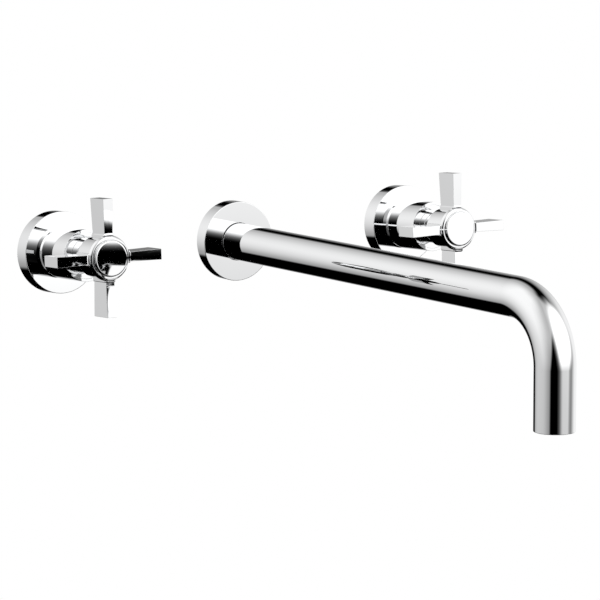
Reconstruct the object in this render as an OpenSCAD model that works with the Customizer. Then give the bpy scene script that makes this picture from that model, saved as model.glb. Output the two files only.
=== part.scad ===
// Wall-mounted bath filler for three wall holes: two cross-handle valves and a
// long spout with a turned-down end, with its brass rough-in behind the wall.
// The origin lies on the wall face, midway between the valves and on their axis
// height. +X is to the right, -Y comes out of the wall and +Z is up.

/* [Layout] */
// Distance from the middle of the set to each valve axis
valve_spacing = 152.4; // [120:0.1:200]
// Depth of the pipe line behind the wall face
pipe_depth = 47; // [44:0.5:70]
// Distance from the pipe line back to the fixing faces
back_offset = 25; // [23:0.5:40]

/* [Spout] */
// Outer diameter of the spout tube
tube_d = 28; // [26:0.5:34]
// Wall of the spout tube
tube_wall = 1.5; // [1:0.1:2]
// Length of the straight tube from the wall to the bend
spout_straight = 362; // [150:1:450]
// Radius of the bend, to the tube's centre line
bend_r = 42; // [30:1:60]
// Length of the straight end below the bend
spout_drop = 42; // [24:1:80]
// Fall of the straight tube towards its outlet, in degrees
spout_slope = 2.8; // [0:0.1:5]

/* [Wall flanges] */
// Diameter of each wall flange
flange_d = 60; // [56:1:80]
// Thickness of the spout's flange
spout_flange_t = 11; // [9:0.5:16]
// Thickness of each valve's flange
valve_flange_t = 13; // [10:0.5:18]
// Wall of the flanges
flange_wall = 2; // [1.5:0.1:3]

/* [Valve trim] */
// Diameter of the sleeve that stands on the valve flange
sleeve_d = 37.8; // [36:0.2:44]
// Distance from the wall to the sleeve's outer end
sleeve_end = 50.7; // [44:0.1:60]
// Depth of the shallow recess in the sleeve's end
recess = 0.5; // [0.3:0.1:4]
// Height of the drawn-in foot of the sleeve
foot_h = 4; // [2:0.2:6]
// Amount that the foot is drawn in at the flange, on the radius
foot_in = 0.6; // [0.3:0.1:0.8]
// Diameter of the handle's neck
neck_d = 25; // [22:0.2:28]
// Running gap between the sleeve's end and the handle
handle_gap = 0.4; // [0.3:0.05:1]

/* [Handle] */
// Length of the handle's neck
neck_len = 12.4; // [6:0.1:16]
// Diameter of the handle's hub
hub_d = 29.2; // [28:0.2:34]
// Length of the hub, from its neck to its flat front
hub_len = 19.5; // [18:0.1:28]
// Diameter of the ring on the hub's front
ring_d = 33.2; // [31:0.2:40]
// Thickness of the ring
ring_t = 2.7; // [1.8:0.1:4]
// Rounding of the ring's outer edge
ring_round = 2.4; // [0.3:0.1:2.4]
// Diameter of the index button
button_d = 26.8; // [22:0.2:28]
// Height of the index button over the ring
button_h = 2; // [1.5:0.1:4]
// Rounding of the index button's edge
button_round = 1.6; // [0.3:0.1:1.8]
// Distance across two arms, tip to tip
arm_span = 84.8; // [60:0.1:110]
// Width of an arm at its root
arm_w_root = 6.8; // [5:0.1:9]
// Width of an arm at its tip
arm_w_tip = 7.8; // [5:0.1:10]
// Depth of an arm at its root, from back to front
arm_t_root = 17.2; // [12:0.1:20]
// Extra depth of an arm at its tip, as much in front as behind
arm_flare = 0.9; // [0:0.1:2]

/* [Valve bodies] */
// Outer diameter of a valve body
body_d = 38; // [36:0.5:44]
// Bore for the cartridge
chamber_d = 26; // [25:0.5:28]
// Outer diameter of the copper pipe
pipe_d = 15; // [12:0.5:16]
// Wall of the copper pipe
pipe_wall = 0.7; // [0.5:0.1:1.2]
// Bore of a supply inlet, before its thread is cut
inlet_d = 19; // [18:0.1:20]
// Length of a supply inlet's bore
inlet_len = 18; // [12:1:24]
// Distance from a valve axis down to the mouth of its inlet
inlet_reach = 50; // [44:1:70]
// Distance between the two fixing holes of a body
ear_spacing = 56; // [50:1:80]
// Height of the fixing holes over the valve axis
ear_rise = 26; // [24:1:40]
// Diameter of a fixing hole
ear_hole_d = 5.5; // [4:0.1:7]
// Thickness of the fixing ears
ear_t = 4; // [3:0.5:6]

/* [Cartridge] */
// Diameter of the valve spindle
spindle_d = 10; // [9:0.1:11]
// Diameter of the ceramic discs
disc_d = 16; // [15:0.1:17]
// Thickness of each ceramic disc
disc_t = 2.8; // [2:0.1:3.5]
// Turn of the handle from shut to open, in degrees
handle_turn = 90; // [60:5:90]

/* [Fits] */
// Gap on the radius of a screwed or pushed fit
fit = 0.05; // [0.02:0.01:0.1]
// Gap on the radius of a shaft that turns
run = 0.08; // [0.05:0.01:0.1]
// Gap between neighbours that turn past each other
clear = 0.3; // [0.25:0.05:0.5]
// Small edge break on turned parts
edge = 0.4; // [0.2:0.1:0.8]

/* [Hidden] */

$fn = 64;
eps = 0.01;
left = -1;
right = 1;

// Colours
chrome = [0.86, 0.87, 0.89];
brass = [0.78, 0.62, 0.32];
copper = [0.78, 0.45, 0.30];
rubber = [0.12, 0.12, 0.13];
ceramic = [0.93, 0.92, 0.88];
plastic = [0.90, 0.90, 0.86];
steel = [0.62, 0.63, 0.65];
foam = [0.25, 0.25, 0.26];

// Spout, measured along its sloped axis from the pipe line
tube_r = tube_d / 2;
tube_bore_r = tube_r - tube_wall;
wall_along = pipe_depth / cos(spout_slope);
tube_back = 2;
tube_start = wall_along + tube_back;
tube_run = spout_straight - tube_back;
adapter_lip = 2.5;
adapter_len = 24;
nipple_r = 10.4;
nipple_bore_r = 7.2;
nipple_start = 12;
nipple_end = tube_start + 14;
washer_t = 2;

// Outlet insert, measured from the tube's lower end
insert_len = 12;
insert_back = 0.6;
insert_bore_r = tube_bore_r - 1.4;
aerator_back = 1.2;
aerator_len = 7.4;
aerator_face = spout_drop - insert_back - aerator_back;
aerator_top = aerator_face - aerator_len;
aerator_r = insert_bore_r - fit;
screen_t = 0.6;
aerator_washer_t = 1.6;

// Seals of the three wall flanges
o_ring_cord = 1;
valve_ring_at = 7.5;
flange_ring_at = wall_along + 6;
spout_at_wall = -pipe_depth * tan(spout_slope);
gasket_t = 3;
gasket_w = 4.6;
gasket_bore_r = flange_d / 2 - flange_wall - gasket_w;
flange_bore_gap = 0.15;

// Tee in the middle of the pipe line
pipe_r = pipe_d / 2;
socket_wall = 3.4;
socket_r = pipe_r + socket_wall;
socket_depth = 16;
tee_half = 34;
tee_boss_r = nipple_r + 4.6;
tee_boss_end = 28;
fix_plane = pipe_depth + back_offset;

// Valve body, measured out of the wall: negative values lie behind it
body_r = body_d / 2;
body_mouth = -24;
body_back = -fix_plane;
chamber_r = chamber_d / 2;
chamber_back = body_back + 16;
seat_wall = 3;
seat_hole_r = 5.4;
rear_chamber_r = 9;
rear_chamber_back = body_back + 6;
passage_r = 3.1;
passage_at = (rear_chamber_back + chamber_back - seat_wall) / 2;
inlet_r = inlet_d / 2;
inlet_boss_r = inlet_r + 3.5;
inlet_axis = body_back + 14;
outlet_reach = body_r + 23;

// Cartridge, from its seal forwards
seal_t = 3.4;
barrel_r = chamber_r - 3.4;
seal_r = barrel_r - 0.2;
disc_r = disc_d / 2;
disc_gap = 0.05;
disc_start = chamber_back + seal_t;
cartridge_back = disc_start - 0.4;
lug_w = 3;
lug_r = disc_r + 1;
moving_start = disc_start + disc_t + disc_gap;
driver_start = moving_start + disc_t;
driver_t = 4;
stop_start = driver_start + driver_t + clear;
stop_t = 4;
stop_end = stop_start + stop_t;
pocket_r = disc_r + clear;
thread_back = body_mouth - 9;
hex_t = 6;
hex_r = 15.4;
front_barrel_r = 10.8;
front_barrel_end = 12;
spindle_r = spindle_d / 2;
spindle_bore_r = spindle_r + run;
o_ring_r = 0.78;
groove_r = spindle_r - 2 * o_ring_r - 0.04;
o_ring_at = [body_mouth - 3, body_mouth + 2];
clip_at = front_barrel_end + clear;
clip_t = 1;
clip_groove = 0.6;
spindle_end = 24;

// The stop: a bar on the spindle travels between two shoulders in the body
stop_play = 1.5;
stop_bar = 30;
shoulder = 180 - handle_turn - stop_bar - 2 * stop_play;

// Sleeve and what it stands on
sleeve_r = sleeve_d / 2;
sleeve_wall = 2.1;
sleeve_bore_r = sleeve_r - sleeve_wall;
sleeve_back = 1;
sleeve_tail_r = sleeve_r - foot_in - 0.3;
web_t = 3.4;
web_front = sleeve_end - recess;
web_bore_r = 11;
carrier_t = 8;
carrier_at = 2;
carrier_bore_r = front_barrel_r + fit;
neck_r = neck_d / 2;
bush_shank = 6;
neck_start = web_front + handle_gap;

// Stem extension and handle
spline_teeth = 20;
spline_gap = 0.12;
extension_start = 14.6;
spindle_spline_start = extension_start - clear;
extension_socket_r = 7.4;
extension_socket_end = 33;
extension_rod_r = 5.6;
handle_spline_r = 5;
handle_spline_len = 18;
hub_start = neck_start + neck_len;
hub_front = hub_start + hub_len;
hub_r = hub_d / 2;
ring_front = hub_front + ring_t;
button_front = ring_front + button_h;
button_r = button_d / 2;
ring_r = ring_d / 2;
cap_bore_r = ring_r - 4.5;
cap_depth = 6;
cap_floor = hub_front - cap_depth;
cap_skirt_r = cap_bore_r - fit;
cap_skirt = 5.4;
button_plug_r = cap_skirt_r - 2.2;
button_plug = 5;
extension_end = cap_floor - 2.4;
handle_spline_start = extension_end - handle_spline_len;
shoulder_r = ring_r + 0.6;
shoulder_w = arm_w_root + 3.4;
ring_stand = 1.6;
arm_front = ring_front - ring_stand;
arm_back = arm_front - arm_t_root;
screw_r = 2.5;
screw_len = 12;
screw_head_r = 4.6;
screw_head_t = 3.2;
screw_socket_r = 2.3;

// Turned solid from a half outline of [radius, distance] points
module turned(outline) {
  rotate_extrude() polygon(outline);
}

// Plain round piece between two distances, with an optional bore
module barrel(r, from, to, bore = 0) {
  translate([0, 0, from]) difference() {
    cylinder(r = r, h = to - from);
    if (bore > 0) translate([0, 0, -1]) cylinder(r = bore, h = to - from + 2);
  }
}

// Points of a rounded outer edge, never deeper than the wall that it rounds
function rounded_edge(r, front, wall, wanted) =
  let (radius = min(wanted, wall - 0.2))
    [for (a = [0 : 15 : 90]) [r - radius * (1 - cos(a)), front - radius * (1 - sin(a))]];

// Round ring of a round cord
module o_ring(r, cord, at) {
  translate([0, 0, at]) rotate_extrude() translate([r, 0]) circle(r = cord, $fn = 24);
}

// Fine teeth round a shaft; grow opens the matching hole
module spline(r, from, to, grow = 0) {
  depth = 0.5;
  step = 360 / spline_teeth;
  points = [
    for (i = [0 : 2 * spline_teeth - 1])
      let (a = i * step / 2, q = r + grow - (i % 2) * depth)
        [q * cos(a), q * sin(a)]
  ];
  translate([0, 0, from]) linear_extrude(height = to - from) polygon(points);
}

// Sector of a ring, from one angle over a sweep
module sector(inner, outer, start, sweep, from, to) {
  translate([0, 0, from]) rotate([0, 0, start])
    rotate_extrude(angle = sweep) translate([inner, 0]) square([outer - inner, to - from]);
}

// Places: out of the wall at a valve, and along the spout's sloped axis
module at_valve(side) {
  translate([side * valve_spacing, 0, 0]) rotate([90, 0, 0]) children();
}

module at_spout() {
  translate([0, pipe_depth, 0]) rotate([90 + spout_slope, 0, 0]) children();
}

// From the tube's start, and down the drop from the bend's end
module at_tube() {
  at_spout() translate([0, 0, tube_start]) children();
}

module at_drop() {
  at_tube() translate([0, -bend_r, tube_run + bend_r]) rotate([90, 0, 0]) children();
}

// Two round ears behind a body, with their fixing holes
module ears() {
  translate([0, 0, body_back]) {
    translate([-ear_spacing / 2, ear_rise, 0]) cylinder(r = 8, h = ear_t);
    translate([ear_spacing / 2, ear_rise, 0]) cylinder(r = 8, h = ear_t);
    translate([-ear_spacing / 2, ear_rise - 8, 0]) cube([ear_spacing, 16, ear_t]);
    translate([-10, 0, 0]) cube([20, ear_rise, ear_t]);
  }
}

module ear_holes() {
  for (x = [-1, 1])
    translate([x * ear_spacing / 2, ear_rise, body_back - 1]) cylinder(d = ear_hole_d, h = ear_t + 2);
}

// Spout

module tube_section() {
  difference() {
    circle(r = tube_r);
    circle(r = tube_bore_r);
  }
}

module spout_tube() {
  color(chrome) at_tube() {
    linear_extrude(height = tube_run) tube_section();
    translate([0, -bend_r, tube_run]) rotate([0, 90, 0]) rotate([0, 0, 90])
      rotate_extrude(angle = 90) translate([bend_r, 0]) tube_section();
    translate([0, -bend_r, tube_run + bend_r]) rotate([90, 0, 0])
      linear_extrude(height = spout_drop) tube_section();
  }
}

module spout_flange() {
  flange_r = flange_d / 2;
  front = spout_flange_t;
  collar_r = tube_r + 4.4;
  color(chrome) difference() {
    translate([0, 0, spout_at_wall]) rotate([90, 0, 0]) turned([
      [0, front], [flange_r - edge, front], [flange_r, front - edge], [flange_r, 0],
      [flange_r - flange_wall, 0], [flange_r - flange_wall, front - flange_wall],
      [collar_r, front - flange_wall], [collar_r, 2.5], [0, 2.5]
    ]);
    at_spout() {
      cylinder(r = tube_r + flange_bore_gap, h = 2 * tube_start);
      translate([0, 0, flange_ring_at]) rotate_extrude()
        translate([tube_r - 1, -o_ring_cord]) square([1 + 2 * o_ring_cord, 2 * o_ring_cord]);
    }
  }
}

module spout_flange_o_ring() {
  color(rubber) at_spout() o_ring(tube_r + o_ring_cord, o_ring_cord - fit, flange_ring_at);
}

module spout_flange_gasket() {
  color(foam) translate([0, 0, spout_at_wall]) rotate([90, 0, 0])
    barrel(flange_d / 2 - flange_wall - fit, 0, gasket_t, gasket_bore_r);
}

module spout_adapter() {
  color(brass) at_spout() difference() {
    union() {
      barrel(tube_bore_r - fit, tube_start - eps, tube_start + adapter_len - adapter_lip);
      barrel(tube_r - edge, tube_start - adapter_lip, tube_start);
    }
    barrel(nipple_r + fit, tube_start - adapter_lip - 1, nipple_end + washer_t);
    barrel(nipple_bore_r + 0.8, nipple_end, tube_start + adapter_len);
  }
}

module spout_washer() {
  color(rubber) at_spout() barrel(nipple_r - fit, nipple_end, nipple_end + washer_t, nipple_bore_r);
}

module spout_nipple() {
  color(brass) at_spout() barrel(nipple_r, nipple_start, nipple_end, nipple_bore_r);
}

module tee_body() {
  color(brass) difference() {
    union() {
      translate([-tee_half, pipe_depth, 0]) rotate([0, 90, 0]) cylinder(r = socket_r, h = 2 * tee_half);
      at_spout() barrel(tee_boss_r, -4, tee_boss_end);
      at_valve(0) barrel(socket_r + 2, body_back, -pipe_depth);
      at_valve(0) ears();
    }
    translate([-tee_half - 1, pipe_depth, 0]) rotate([0, 90, 0]) cylinder(r = pipe_r - 1, h = 2 * tee_half + 2);
    for (side = [left, right])
      translate([side * (tee_half - socket_depth / 2), pipe_depth, 0]) rotate([0, 90, 0])
        cylinder(r = pipe_r + fit, h = socket_depth + eps, center = true);
    at_spout() {
      barrel(nipple_bore_r, 0, nipple_start + 1);
      barrel(nipple_r + fit, nipple_start - 1, tee_boss_end + 1);
    }
    at_valve(0) ear_holes();
  }
}

module outlet_insert() {
  color(brass) at_drop() difference() {
    barrel(tube_bore_r - fit, spout_drop - insert_back - insert_len, spout_drop - insert_back);
    barrel(insert_bore_r, aerator_top - aerator_washer_t, spout_drop + 1);
    barrel(insert_bore_r - 2, spout_drop - insert_back - insert_len - 1, spout_drop);
  }
}

module aerator_washer() {
  color(rubber) at_drop()
    barrel(aerator_r, aerator_top - aerator_washer_t, aerator_top, insert_bore_r - 2);
}

module aerator_body() {
  rib = 0.9;
  color(plastic) at_drop() {
    barrel(aerator_r, aerator_top, aerator_face, aerator_r - 1.2);
    for (r = [3, 6, 9]) barrel(r, aerator_face - 3, aerator_face, r - rib);
    for (a = [0 : 60 : 120])
      rotate([0, 0, a]) translate([-aerator_r + 0.6, -rib / 2, aerator_face - 2.6])
        cube([2 * aerator_r - 1.2, rib, 2.6]);
  }
}

module aerator_screen() {
  color(steel) at_drop() difference() {
    barrel(aerator_r - 1.2 - fit, aerator_face - 3 - screen_t, aerator_face - 3);
    for (x = [-6 : 3 : 6], y = [-6 : 3 : 6])
      if (norm([x, y]) < 8.6)
        translate([x - 1, y - 1, aerator_face - 4 - screen_t]) cube([2, 2, 2 + screen_t]);
  }
}

// Valve bodies and pipes

module valve_body(side) {
  inward = -side;
  color(brass) at_valve(side) difference() {
    union() {
      barrel(body_r, body_back, body_mouth);
      translate([0, 0, -pipe_depth]) rotate([0, inward * 90, 0]) cylinder(r = socket_r, h = outlet_reach);
      translate([0, 0, inlet_axis]) rotate([90, 0, 0]) cylinder(r = inlet_boss_r, h = inlet_reach);
      ears();
    }
    barrel(chamber_r, chamber_back, body_mouth + 1);
    barrel(seat_hole_r, chamber_back - seat_wall - 1, chamber_back + 1);
    barrel(rear_chamber_r, rear_chamber_back, chamber_back - seat_wall);
    translate([0, 0, -pipe_depth]) rotate([0, inward * 90, 0]) {
      cylinder(r = pipe_r - 1, h = outlet_reach + 1);
      translate([0, 0, outlet_reach - socket_depth]) cylinder(r = pipe_r + fit, h = socket_depth + 1);
    }
    translate([0, -inlet_reach - 1, inlet_axis]) rotate([-90, 0, 0]) cylinder(r = inlet_r, h = inlet_len + 1);
    translate([0, -inlet_reach + inlet_len - 1, passage_at]) rotate([-90, 0, 0])
      cylinder(r = passage_r, h = inlet_reach - inlet_len + 1);
    ear_holes();
  }
}

module link_pipe(side) {
  from = tee_half - socket_depth + 0.5;
  to = valve_spacing - outlet_reach + socket_depth - 0.5;
  color(copper) translate([side * from, pipe_depth, 0]) rotate([0, side * 90, 0])
    barrel(pipe_r, 0, to - from, pipe_r - pipe_wall);
}

// Quarter-turn cartridge

module cartridge_body(side) {
  window_from = driver_start - 1;
  window_h = driver_t + 1;
  color(brass) at_valve(side) difference() {
    union() {
      barrel(barrel_r, cartridge_back, thread_back + 1);
      barrel(chamber_r - fit, thread_back, body_mouth);
      translate([0, 0, body_mouth]) rotate([0, 0, 30]) cylinder(r = hex_r, h = hex_t, $fn = 6);
      barrel(front_barrel_r, body_mouth + hex_t - eps, front_barrel_end);
    }
    barrel(spindle_bore_r, chamber_back, front_barrel_end + 1);
    barrel(pocket_r, disc_start - 1, stop_start);
    difference() {
      barrel(pocket_r, stop_start - eps, stop_end);
      for (a = [0, 180]) sector(spindle_r + 1, pocket_r + 1, a + stop_from(side), shoulder, stop_start, stop_end);
    }
    translate([-lug_r - fit, -lug_w / 2 - fit, cartridge_back - 1])
      cube([2 * lug_r + 2 * fit, lug_w + 2 * fit, disc_start + disc_t - cartridge_back + 1]);
    for (a = [45, 135])
      rotate([0, 0, a]) translate([-barrel_r - 1, -3, window_from]) cube([2 * barrel_r + 2, 6, window_h]);
  }
}

// Start of the first shoulder: the bar rests against the shut side
function stop_from(side) = side == left ? handle_turn + stop_bar / 2 + stop_play
  : stop_bar / 2 + stop_play;

module cartridge_seal(side) {
  color(rubber) at_valve(side) {
    barrel(seal_r, chamber_back, cartridge_back, seat_hole_r);
    barrel(disc_r - 0.2, cartridge_back - eps, disc_start, seat_hole_r);
  }
}

module ports(spin, from, to) {
  for (a = [0, 180]) sector(2.2, disc_r - 2.2, a + spin - 35, 70, from, to);
}

module fixed_disc(side) {
  color(ceramic) at_valve(side) difference() {
    union() {
      barrel(disc_r, disc_start, disc_start + disc_t);
      translate([-lug_r, -lug_w / 2, disc_start]) cube([2 * lug_r, lug_w, disc_t]);
    }
    ports(90, disc_start - 1, disc_start + disc_t + 1);
  }
}

module moving_disc(side) {
  color(ceramic) at_valve(side) difference() {
    barrel(disc_r - 0.2, moving_start, driver_start);
    ports(90 + side * handle_turn, moving_start - 1, driver_start + 1);
    for (a = [90, 270]) rotate([0, 0, a]) translate([disc_r - 2, -1.5, driver_start - 1.2]) cube([4, 3, 2]);
  }
}

module spindle(side) {
  color(brass) at_valve(side) {
    difference() {
      union() {
        for (a = [90, 270]) {
          sector(disc_r - 3.4, disc_r - 0.3, a - 25, 50, driver_start, driver_start + driver_t);
          rotate([0, 0, a]) translate([disc_r - 1.9, -1.4, driver_start - 1.1]) cube([1.6, 2.8, 1.2]);
        }
        barrel(disc_r - 3, driver_start + 1.4, driver_start + driver_t);
        for (a = [0, 180])
          sector(spindle_r - 1, pocket_r - clear, a - stop_bar / 2, stop_bar, driver_start + driver_t - eps, stop_end - clear);
        barrel(spindle_r, driver_start + driver_t - 1, spindle_spline_start);
      }
      for (at = o_ring_at)
        barrel(spindle_r + 1, at - o_ring_r - 0.1, at + o_ring_r + 0.1, groove_r);
      barrel(spindle_r + 1, clip_at - eps, clip_at + clip_t + 0.1, spindle_r - clip_groove);
    }
    spline(spindle_r - 0.3, spindle_spline_start - eps, spindle_end);
  }
}

module spindle_o_rings(side) {
  color(rubber) at_valve(side) for (at = o_ring_at) o_ring(groove_r + o_ring_r + 0.02, o_ring_r, at);
}

module spindle_clip(side) {
  inner = spindle_r - clip_groove + 0.03;
  color(steel) at_valve(side) difference() {
    barrel(7, clip_at + 0.05, clip_at + clip_t, inner);
    translate([-side * 4.5, 0, clip_at]) cube([9, 3.2, 3 * clip_t], center = true);
  }
}

// Trim round the cartridge

module sleeve_carrier(side) {
  color(brass) at_valve(side) difference() {
    barrel(sleeve_bore_r - fit, carrier_at, carrier_at + carrier_t, carrier_bore_r);
    for (a = [0 : 90 : 270])
      rotate([0, 0, a]) translate([(carrier_bore_r + sleeve_bore_r) / 2, 0, carrier_at - 1])
        cylinder(r = 1.2, h = carrier_t + 2, $fn = 16);
  }
}

module sleeve(side) {
  color(chrome) at_valve(side) turned([
    [sleeve_tail_r, sleeve_back], [sleeve_tail_r, valve_flange_t], [sleeve_r - foot_in, valve_flange_t],
    [sleeve_r, valve_flange_t + foot_h], [sleeve_r, sleeve_end - edge], [sleeve_r - edge, sleeve_end],
    [sleeve_bore_r, sleeve_end], [sleeve_bore_r, web_front], [web_bore_r, web_front],
    [web_bore_r, web_front - web_t], [sleeve_bore_r, web_front - web_t], [sleeve_bore_r, sleeve_back]
  ]);
}

module guide_bush(side) {
  bore = extension_rod_r + clear;
  color(chrome) at_valve(side) difference() {
    barrel(web_bore_r - fit, web_front - bush_shank, web_front);
    barrel(bore, web_front - bush_shank - 1, web_front + 1);
  }
}

module valve_flange(side) {
  flange_r = flange_d / 2;
  front = valve_flange_t;
  collar_r = sleeve_tail_r + 3.2;
  bore_r = sleeve_tail_r + flange_bore_gap;
  color(chrome) at_valve(side) difference() {
    turned([
      [bore_r, front], [flange_r - edge, front], [flange_r, front - edge], [flange_r, 0],
      [flange_r - flange_wall, 0], [flange_r - flange_wall, front - flange_wall],
      [collar_r, front - flange_wall], [collar_r, 4], [bore_r, 4]
    ]);
    barrel(sleeve_tail_r + 2 * o_ring_cord, valve_ring_at - o_ring_cord, valve_ring_at + o_ring_cord);
  }
}

module valve_flange_o_ring(side) {
  color(rubber) at_valve(side) o_ring(sleeve_tail_r + o_ring_cord, o_ring_cord - fit, valve_ring_at);
}

module valve_flange_gasket(side) {
  color(foam) at_valve(side) barrel(flange_d / 2 - flange_wall - fit, 0, gasket_t, gasket_bore_r);
}

// Handle

module stem_extension(side) {
  color(brass) at_valve(side) difference() {
    union() {
      barrel(extension_socket_r, extension_start, extension_socket_end);
      barrel(extension_rod_r, extension_socket_end - 1, handle_spline_start);
      spline(handle_spline_r, handle_spline_start - eps, extension_end);
    }
    spline(spindle_r - 0.3, extension_start - 1, spindle_end + 1, spline_gap);
    barrel(screw_r - 0.4, extension_end - screw_len, extension_end + 1);
  }
}

module arm_profile() {
  half = arm_span / 2;
  polygon([
    [0, -arm_w_root / 2], [hub_r, -arm_w_root / 2], [half, -arm_w_tip / 2],
    [half, arm_w_tip / 2], [hub_r, arm_w_root / 2], [0, arm_w_root / 2]
  ]);
}

module arm_depth() {
  half = arm_span / 2;
  polygon([
    [0, arm_back], [shoulder_r, arm_back], [half, arm_back - arm_flare],
    [half, arm_front + arm_flare], [shoulder_r, arm_front], [0, arm_front]
  ]);
}

// One arm: the front outline and the side outline cut each other
module arm() {
  intersection() {
    translate([0, 0, arm_back - 10]) linear_extrude(height = arm_t_root + 20) arm_profile();
    translate([0, 10, 0]) rotate([90, 0, 0]) linear_extrude(height = 20) arm_depth();
  }
}

module handle(side) {
  color(chrome) at_valve(side) difference() {
    union() {
      barrel(neck_r, neck_start, hub_start + eps);
      turned([
        [0, hub_start], [hub_r - edge, hub_start], [hub_r, hub_start + edge], [hub_r, hub_front], [0, hub_front]
      ]);
      intersection() {
        barrel(shoulder_r, arm_back, arm_front);
        for (a = [0, 90])
          rotate([0, 0, a]) translate([-shoulder_r, -shoulder_w / 2, arm_back])
            cube([2 * shoulder_r, shoulder_w, arm_t_root]);
      }
      for (a = [0 : 90 : 270]) rotate([0, 0, a]) arm();
    }
    barrel(extension_rod_r + 0.2, neck_start - 1, handle_spline_start + eps);
    spline(handle_spline_r, handle_spline_start, extension_end + clear, spline_gap);
    barrel(screw_r + clear, extension_end - 1, cap_floor + 1);
    barrel(cap_bore_r, cap_floor, hub_front + 1);
    barrel(ring_r + fit, hub_front, arm_front + 1);
  }
}

module handle_screw(side) {
  color(steel) at_valve(side) difference() {
    union() {
      barrel(screw_r - 0.45, extension_end - screw_len + 1, cap_floor);
      barrel(screw_head_r, cap_floor, cap_floor + screw_head_t);
    }
    translate([0, 0, cap_floor + 1.2]) cylinder(r = screw_socket_r, h = screw_head_t, $fn = 6);
  }
}

module front_ring(side) {
  color(chrome) at_valve(side) difference() {
    union() {
      turned(concat(
        [[0, hub_front], [ring_r, hub_front]],
        rounded_edge(ring_r, ring_front, ring_t, ring_round), [[0, ring_front]]
      ));
      barrel(cap_skirt_r, hub_front - cap_skirt, hub_front + eps);
    }
    barrel(button_plug_r + fit, hub_front - cap_skirt - 1, ring_front + 1);
  }
}

module button(side) {
  color(chrome) at_valve(side) turned(concat(
    [[0, ring_front - button_plug], [button_plug_r, ring_front - button_plug], [button_plug_r, ring_front],
      [button_r, ring_front]],
    rounded_edge(button_r, button_front, button_h, button_round), [[0, button_front]]
  ));
}

// Left side, hot

module hot_valve_body() { valve_body(left); }
module hot_link_pipe() { link_pipe(left); }
module hot_cartridge_body() { cartridge_body(left); }
module hot_cartridge_seal() { cartridge_seal(left); }
module hot_fixed_disc() { fixed_disc(left); }
module hot_sleeve_carrier() { sleeve_carrier(left); }
module hot_sleeve() { sleeve(left); }
module hot_guide_bush() { guide_bush(left); }
module hot_flange() { valve_flange(left); }
module hot_flange_o_ring() { valve_flange_o_ring(left); }
module hot_flange_gasket() { valve_flange_gasket(left); }
module hot_moving_disc() { moving_disc(left); }
module hot_spindle() { spindle(left); }
module hot_spindle_o_rings() { spindle_o_rings(left); }
module hot_spindle_clip() { spindle_clip(left); }
module hot_stem_extension() { stem_extension(left); }
module hot_handle() { handle(left); }
module hot_handle_screw() { handle_screw(left); }
module hot_ring() { front_ring(left); }
module hot_button() { button(left); }

// Right side, cold

module cold_valve_body() { valve_body(right); }
module cold_link_pipe() { link_pipe(right); }
module cold_cartridge_body() { cartridge_body(right); }
module cold_cartridge_seal() { cartridge_seal(right); }
module cold_fixed_disc() { fixed_disc(right); }
module cold_sleeve_carrier() { sleeve_carrier(right); }
module cold_sleeve() { sleeve(right); }
module cold_guide_bush() { guide_bush(right); }
module cold_flange() { valve_flange(right); }
module cold_flange_o_ring() { valve_flange_o_ring(right); }
module cold_flange_gasket() { valve_flange_gasket(right); }
module cold_moving_disc() { moving_disc(right); }
module cold_spindle() { spindle(right); }
module cold_spindle_o_rings() { spindle_o_rings(right); }
module cold_spindle_clip() { spindle_clip(right); }
module cold_stem_extension() { stem_extension(right); }
module cold_handle() { handle(right); }
module cold_handle_screw() { handle_screw(right); }
module cold_ring() { front_ring(right); }
module cold_button() { button(right); }

spout_tube();
spout_flange();
spout_flange_o_ring();
spout_flange_gasket();
spout_adapter();
spout_washer();
spout_nipple();
tee_body();
outlet_insert();
aerator_washer();
aerator_body();
aerator_screen();
hot_valve_body();
hot_link_pipe();
hot_cartridge_body();
hot_cartridge_seal();
hot_fixed_disc();
hot_sleeve_carrier();
hot_sleeve();
hot_guide_bush();
hot_flange();
hot_flange_o_ring();
hot_flange_gasket();
hot_moving_disc();
hot_spindle();
hot_spindle_o_rings();
hot_spindle_clip();
hot_stem_extension();
hot_handle();
hot_handle_screw();
hot_ring();
hot_button();
cold_valve_body();
cold_link_pipe();
cold_cartridge_body();
cold_cartridge_seal();
cold_fixed_disc();
cold_sleeve_carrier();
cold_sleeve();
cold_guide_bush();
cold_flange();
cold_flange_o_ring();
cold_flange_gasket();
cold_moving_disc();
cold_spindle();
cold_spindle_o_rings();
cold_spindle_clip();
cold_stem_extension();
cold_handle();
cold_handle_screw();
cold_ring();
cold_button();
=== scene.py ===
"""Looks of the wall-mounted bath faucet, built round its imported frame.

Every size is in millimetres and measured as in the part's source: the wall face is
y = 0, the water side is -Y, and the valve axes lie at z = 0.
"""

import logging
import math
from dataclasses import dataclass, field
from enum import Enum
from functools import cache
from typing import Callable, Sequence

import bpy
from mathutils import Matrix, Vector


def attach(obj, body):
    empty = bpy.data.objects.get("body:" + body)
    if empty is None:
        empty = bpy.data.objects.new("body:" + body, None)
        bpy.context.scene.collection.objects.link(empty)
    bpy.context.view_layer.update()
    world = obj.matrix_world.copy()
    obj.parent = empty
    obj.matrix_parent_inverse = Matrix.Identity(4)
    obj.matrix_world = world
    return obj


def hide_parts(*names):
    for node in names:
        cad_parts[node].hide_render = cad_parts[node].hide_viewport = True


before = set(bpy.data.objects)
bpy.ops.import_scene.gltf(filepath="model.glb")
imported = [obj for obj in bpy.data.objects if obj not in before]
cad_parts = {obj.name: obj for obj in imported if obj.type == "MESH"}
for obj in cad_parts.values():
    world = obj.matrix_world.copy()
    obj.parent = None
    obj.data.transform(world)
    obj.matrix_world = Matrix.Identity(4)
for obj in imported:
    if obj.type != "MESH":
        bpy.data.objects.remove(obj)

LOG = logging.getLogger("faucet")
MM = 0.001

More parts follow.
